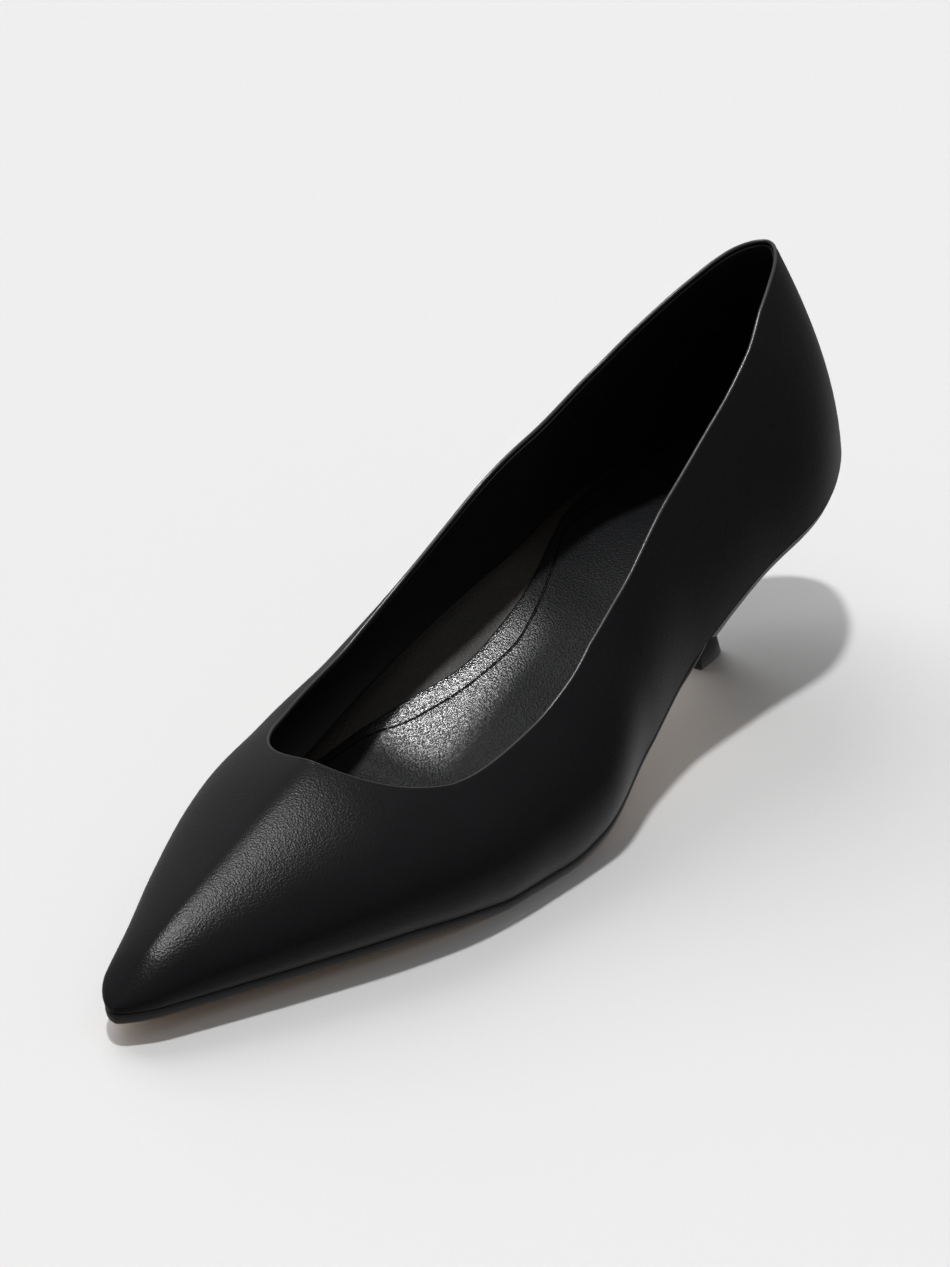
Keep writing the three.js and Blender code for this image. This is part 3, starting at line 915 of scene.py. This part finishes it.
SOCK_INSET = columns(
    ["at", "outer", "inner"],
    [
        [0.00, 2.4, 2.4],
        [0.20, 2.4, 3.0],
        [0.32, 2.4, 6.2],
        [0.40, 2.6, 11.2],
        [0.46, 2.8, 12.8],
        [0.52, 2.8, 9.0],
        [0.57, 2.6, 5.8],
        [0.64, 2.4, 3.2],
        [0.74, 2.4, 2.4],
        [1.00, 2.4, 2.4],
    ],
)
PAD_STRIPS = 28
PAD_FRONT_ROWS = 80
PAD_SEAT_ROWS = 40
LASTED_END = 0.985
LASTED_INSET = 0.3
LASTED_FLOOR = -0.27
LASTED_THICKNESS = 0.24
LASTED_ROUND = 0.05
BOARD_END = 0.955
BOARD_INSET = 1.7
BOARD_FLOOR = 0.05
BOARD_THICKNESS = 0.95
BOARD_ROUND = 0.3
SOCK_END = 0.93
SOCK_GAP = 0.02
SOCK_ROUND = 0.45
# Seam of the sock, in millimetres from the arch side's margin
SEAM_INSET = columns(
    ["at", "inset"],
    [
        [0.30, 7.5],
        [0.36, 12.2],
        [0.40, 15.9],
        [0.44, 18.2],
        [0.48, 17.6],
        [0.535, 13.6],
        [0.57, 8.4],
        [0.62, 5.2],
    ],
)


def insole_stations(end):
    front = lerp(end, BREAST_FROM_BACK / LAST_LENGTH, np.linspace(0, 1, PAD_FRONT_ROWS))
    turns = np.linspace(0, 1, PAD_SEAT_ROWS)[1:]
    seat = BREAST_FROM_BACK / LAST_LENGTH * np.cos(math.pi / 2 * turns) ** 2
    return np.concatenate([front, seat])


def inset_line(station, outer, inner):
    x0, back0 = edge_point(OUTER, station, outer)
    x1, back1 = edge_point(INNER, station, inner)
    across = np.linspace(0, 1, PAD_STRIPS + 1)
    if station == 0:
        x0, x1 = 0.0, 0.0
    return lerp(x0, x1, across), lerp(back0, back1, across)


# Swell of the bed over the shank: stations where it starts and ends, and shares of the way across.
# The height and the fall are in millimetres.
SWELL_STARTS = (0.34, 0.42)
SWELL_ENDS = (0.53, 0.60)
SWELL_HEIGHT = 1.3
SWELL_MIDDLE = 0.56
SWELL_REACH = 0.32
ARCH_FALL = 0.8
ARCH_FALL_ACROSS = (0.62, 0.95)

# Polished band of the sock: stations where it starts and ends, and shares of the way across
POLISH_STARTS = (0.38, 0.48)
POLISH_ENDS = (0.54, 0.575)
POLISH_ACROSS = (0.56, 0.74)


def waist_swell(x, from_back):
    """The bed swells a little over the shank and falls away towards the arch side."""
    station, across = station_at(from_back), place_across(x, from_back)
    waist = smoothstep(station, *SWELL_STARTS) * (1 - smoothstep(station, *SWELL_ENDS))
    swell = SWELL_HEIGHT * bump(across, SWELL_MIDDLE, SWELL_REACH)
    return waist * (swell - ARCH_FALL * smoothstep(across, *ARCH_FALL_ACROSS))


def worn_polish(x, from_back):
    """Where the sock is polished: a band along the arch side of the waist."""
    station, across = station_at(from_back), place_across(x, from_back)
    waist = smoothstep(station, *POLISH_STARTS) * (1 - smoothstep(station, *POLISH_ENDS))
    return waist * smoothstep(across, *POLISH_ACROSS)


def from_seam(x, from_back):
    """Millimetres from the sock's seam, across the shoe."""
    station = np.clip(station_at(from_back), 0.30, 0.62)
    return x + half_width(INNER, station) - SEAM_INSET["inset"](station)


def pad(name, end, insets, floor, thickness, finishes, edge_round, swell=0.0):
    """Closed sheet on the margin's surface with a rounded edge."""
    profile = [(0.0, 0.0), (thickness * 0.55, 0.0), (thickness - edge_round * 0.3, edge_round * 0.3),
               (thickness, edge_round)]
    grids = []
    for rise, inset in profile:
        rows = []
        for station in insole_stations(end):
            outer, inner = insets(station)
            x, back = inset_line(station, outer + inset, inner + inset)
            height = margin_surface(x, back) + floor + rise + swell * waist_swell(x, back)
            rows.append(last_point(x, back, height))
        grids.append(np.array(rows))
    skin = Skin()
    skin.grid(grids[-1], 0)
    skin.grid(grids[0], 0, flip=True)
    skin.grid(np.stack([grid[:, 0] for grid in grids[::-1]], 1), 0, flip=True)
    skin.grid(np.stack([grid[:, -1] for grid in grids[::-1]], 1), 0)
    skin.grid(np.stack([grid[0] for grid in grids[::-1]], 1), 0, flip=True)
    skin.grid(np.stack([grid[-1] for grid in grids[::-1]], 1), 0)
    return skin.piece(name, finishes, smooth_angle=50)


def make_board():
    return pad("insole_board", BOARD_END, lambda station: (BOARD_INSET, BOARD_INSET), BOARD_FLOOR,
               BOARD_THICKNESS, [BOARD], BOARD_ROUND, swell=1.0)


def make_lasting_edge():
    """Lasted edge of the upper, turned in under the board."""
    return pad("lasting_edge", LASTED_END, lambda station: (LASTED_INSET, LASTED_INSET), LASTED_FLOOR,
               LASTED_THICKNESS, [LINING], LASTED_ROUND)


def sock_insets(station):
    return float(SOCK_INSET["outer"](station)), float(SOCK_INSET["inner"](station))


def make_sock():
    floor = BOARD_FLOOR + BOARD_THICKNESS + SOCK_GAP
    thickness = SOCK_THICKNESS - BOARD_THICKNESS
    sock = pad("sock", SOCK_END, sock_insets, floor, thickness, [SOCK], SOCK_ROUND, swell=1.0)
    mark(sock, "polish", worn_polish)
    mark(sock, "seam", from_seam)
    mark(sock, "seam_run", lambda x, from_back: from_back)
    return sock


# Heel block and top lift

HEEL_STRIPS = 16
HEEL_TURNS = 57
# The levels lie closer together in the first part of the drop, under the seat
HEEL_TOP_DROP = 0.1
HEEL_TOP_LEVELS = 9
HEEL_LEVELS = 50
LIFT_STRIPS = 12
LIFT_TURNS = 25
LIFT_BEVEL = 0.35
# Levels of the lift: the share of the way down, and the share of the bevel taken off there
LIFT_LEVELS = [(0.0, 1.0), (0.06, 0.0), (0.5, 0.0), (0.93, 0.0), (1.0, 1.0)]


def lift_point(size, turn, across, z):
    angle = math.pi / 2 * turn
    reach = math.sin(angle) ** LIFT_ROUNDNESS
    spread = 0.0 if turn == 1 else math.cos(angle) ** LIFT_ROUNDNESS
    x = LIFT_OFFSET + size["half_width"] * spread * (1 - 2 * across)
    return last_point(x, size["front"] - size["length"] * reach, z)


def stack_piece(skin, levels):
    """Closed solid between stacked grids, from its top grid to its bottom grid."""
    skin.grid(levels[0], 0)
    skin.grid(levels[-1], 0, flip=True)
    walls = np.array(levels)
    skin.grid(walls[:, :, 0].transpose(1, 0, 2), 0, flip=True)
    skin.grid(walls[:, :, -1].transpose(1, 0, 2), 0)
    skin.grid(walls[:, 0].transpose(1, 0, 2), 0, flip=True)
    skin.grid(walls[:, -1].transpose(1, 0, 2), 0)


def make_heel():
    top = lift_top()
    foot = {
        "half_width": top["half_width"],
        "length": top["length"] - SHANK_SOLE - PIECE_GAP,
        "front": top["front"] - SHANK_SOLE - PIECE_GAP,
    }
    breast = BREAST_FROM_BACK / LAST_LENGTH
    turns = np.linspace(0, 1, HEEL_TURNS)
    across = np.linspace(0, 1, HEEL_STRIPS + 1)
    top_drops = np.linspace(0, HEEL_TOP_DROP, HEEL_TOP_LEVELS)
    drops = np.concatenate([top_drops, np.linspace(HEEL_TOP_DROP, 1, HEEL_LEVELS)[1:]])
    levels = []
    for drop in drops:
        rows = [breast_row(drop, HEEL_STRIPS)]
        for turn in turns[1:]:
            station = breast * math.cos(math.pi / 2 * turn) ** 2
            outer_x, inner_x = [side * float(half_width(side, station)) for side in (OUTER, INNER)]
            if turn == 1:
                outer_x, inner_x = 0.0, 0.0
            share = math.sin(math.pi / 2 * turn)
            along = lerp(HEEL_FORM["front_reach"](drop), HEEL_FORM["back_reach"](drop), share)
            low = lift_point(foot, turn, across, LIFT_HEIGHT)
            x = lerp(lerp(outer_x, inner_x, across), low[:, 0], HEEL_FORM["side_reach"](drop))
            from_back = lerp(margin_place(station), -low[:, 1], along)
            height = lerp(cross_height(station, across) - PIECE_GAP, LIFT_HEIGHT, drop)
            rows.append(last_point(x, from_back, height))
        levels.append(np.array(rows))
    skin = Skin()
    stack_piece(skin, levels)
    return skin.piece("heel_block", [HEEL_COVER], smooth_angle=45)


def make_lift():
    top = lift_top()
    floor = {"half_width": LIFT_HALF_WIDTH, "length": LIFT_LENGTH, "front": LIFT_FROM_BACK}
    across = np.linspace(0, 1, LIFT_STRIPS + 1)
    levels = []
    for share, bevelled in LIFT_LEVELS:
        inset = LIFT_BEVEL * bevelled
        size = {key: lerp(top[key], floor[key], share) for key in floor}
        size["half_width"] -= inset
        size["front"] -= inset
        size["length"] -= 2 * inset
        height = LIFT_HEIGHT * (1 - share)
        rows = [lift_point(size, turn, across, height) for turn in np.linspace(0, 1, LIFT_TURNS)]
        levels.append(np.array(rows))
    skin = Skin()
    stack_piece(skin, levels)
    return skin.piece("heel_tip", [LIFT_RUBBER], smooth_angle=45)


def declare(piece, slot, *nodes):
    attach(piece, "root")
    if nodes:
        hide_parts(*nodes)


upper = make_upper()
lining = make_lining()
outsole = make_outsole()
lasting_edge = make_lasting_edge()
board = make_board()
sock = make_sock()
heel = make_heel()
lift = make_lift()

declare(upper, "upper_leather", "upper")
declare(lining, "upper_leather")
declare(lasting_edge, "upper_leather")
declare(outsole, "sole_leather", "outsole")
declare(sock, "sock_leather", "insole")
declare(board, "sock_leather")
declare(heel, "heel_plastic", "heel")
declare(lift, "lift_rubber", "top_lift")


# Studio: pale floor and backdrop, a small high light, a wide soft light and a dim room

FLOOR_SIZE = 9.0
FLOOR_TONE = 0.715
BACKDROP_RADIUS = 8.5
BACKDROP_HEIGHT = 7.0
BACKDROP_SIDES = 64
BACKDROP_GLOW = 0.80
KEY_POWER = 1.76
KEY_WIDTH = 4.5
TOWARDS_KEY = Vector((-0.125, 0.048, 0.991))
SOFT_POWER = 1.75
SOFT_WIDTH = 50.0
TOWARDS_SOFT = Vector((-0.72, 0.40, 0.57))
ROOM_LIGHT = 0.12
OVERHEAD_LIGHT = 0.23
PANEL_LIGHT = 0.14
LOW_LIGHT = 0.22
TOWARDS_PANEL = (-0.75, 0.43, 0.5)


def stage_piece(name, points, faces, finish):
    mesh = bpy.data.meshes.new(name)
    mesh.from_pydata(points, [], faces)
    mesh.materials.append(finish)
    piece = bpy.data.objects.new(name, mesh)
    bpy.context.scene.collection.objects.link(piece)
    return piece


def make_floor():
    """Pale paper; the leather mirrors the dim room below the horizon in its place."""
    paper = Finish("floor_paper")
    paper.set(Base_Color=(FLOOR_TONE, FLOOR_TONE, FLOOR_TONE, 1), Roughness=0.9, Specular_IOR_Level=0.0)
    size = FLOOR_SIZE
    corners = [(-size, -size, 0), (size, -size, 0), (size, size, 0), (-size, size, 0)]
    floor = stage_piece("floor", corners, [(0, 1, 2, 3)], paper.material)
    floor.visible_glossy = False


def make_backdrop():
    """Pale wall all round, seen only by the camera, so that the room's light is untouched."""
    glow = Finish("backdrop_paper")
    glow.set(Base_Color=(0, 0, 0, 1), Specular_IOR_Level=0.0,
             Emission_Color=(1, 1, 1, 1), Emission_Strength=BACKDROP_GLOW)
    turns = np.linspace(0, 2 * math.pi, BACKDROP_SIDES + 1)[:-1]
    ring = [(BACKDROP_RADIUS * math.cos(t), BACKDROP_RADIUS * math.sin(t)) for t in turns]
    points = [(x, y, z) for z in (-0.01, BACKDROP_HEIGHT) for x, y in ring]
    count = len(ring)
    faces = [(i, (i + 1) % count, count + (i + 1) % count, count + i) for i in range(count)]
    wall = stage_piece("backdrop", points, faces, glow.material)
    wall.visible_diffuse = False
    wall.visible_glossy = False
    wall.visible_transmission = False
    wall.visible_shadow = False


def aim(towards, up_hint=(0, 0, 1)):
    """Rotation of a camera or light that looks along a direction."""
    forward = Vector(towards).normalized()
    right = forward.cross(Vector(up_hint)).normalized()
    up = right.cross(forward)
    return Matrix((right, up, -forward)).transposed()


def make_light(name, power, width, towards, mirrored=True):
    data = bpy.data.lights.new(name, "SUN")
    data.energy = power
    data.angle = math.radians(width)
    light = bpy.data.objects.new(name, data)
    light.matrix_world = aim(-towards, (0, 1, 0)).to_4x4()
    light.visible_glossy = mirrored
    bpy.context.scene.collection.objects.link(light)


def make_room():
    """Dim room: dark at the horizon, brighter overhead and below, with a soft panel at the left behind."""
    world = bpy.data.worlds.new("room")
    world.use_nodes = True
    room = Nodes(world.node_tree)
    direction = room.node("ShaderNodeTexCoord", {}, {}, "Generated")
    height = room.node("ShaderNodeSeparateXYZ", {}, {"Vector": direction}, "Z")
    dot = {"operation": "DOT_PRODUCT"}
    panel = room.node("ShaderNodeVectorMath", dot, {0: direction, 1: TOWARDS_PANEL}, "Value")
    low_glow = LOW_LIGHT * (0 - height).step(0.15, 0.45)
    overhead = OVERHEAD_LIGHT * height.step(0.0, 0.8)
    light = ROOM_LIGHT + overhead + PANEL_LIGHT * panel.step(0.55, 0.95) + low_glow
    background = world.node_tree.nodes["Background"]
    background.inputs["Color"].default_value = (1, 1, 1, 1)
    room.put(background.inputs["Strength"], light)
    bpy.context.scene.world = world
    bpy.context.scene.view_settings.view_transform = "Standard"


CAMERA_AZIMUTH = 34.384
CAMERA_ELEVATION = 25.547
CAMERA_DISTANCE = 0.8453
CAMERA_ROLL = -0.255
CAMERA_TARGET = Vector((-0.0096, 0.0037, 0.032))
CAMERA_LENS = 146.77
SENSOR_WIDTH = 36.0
CAMERA_SEES = (0.05, 50)


def make_camera():
    azimuth, elevation = math.radians(CAMERA_AZIMUTH), math.radians(CAMERA_ELEVATION)
    back = Vector((math.sin(azimuth) * math.cos(elevation), -math.cos(azimuth) * math.cos(elevation),
                   math.sin(elevation)))
    data = bpy.data.cameras.new("camera")
    data.sensor_fit = "HORIZONTAL"
    data.sensor_width = SENSOR_WIDTH
    data.lens = CAMERA_LENS
    data.clip_start, data.clip_end = CAMERA_SEES
    camera = bpy.data.objects.new("camera", data)
    roll = Matrix.Rotation(math.radians(CAMERA_ROLL), 3, "Z")
    turned = (aim(-back) @ roll).to_4x4()
    camera.matrix_world = Matrix.Translation(CAMERA_TARGET + back * CAMERA_DISTANCE) @ turned
    bpy.context.scene.collection.objects.link(camera)
    bpy.context.scene.camera = camera


make_floor()
make_backdrop()
make_light("key", KEY_POWER, KEY_WIDTH, TOWARDS_KEY)
make_light("soft_light", SOFT_POWER, SOFT_WIDTH, TOWARDS_SOFT, mirrored=False)
make_room()
make_camera()
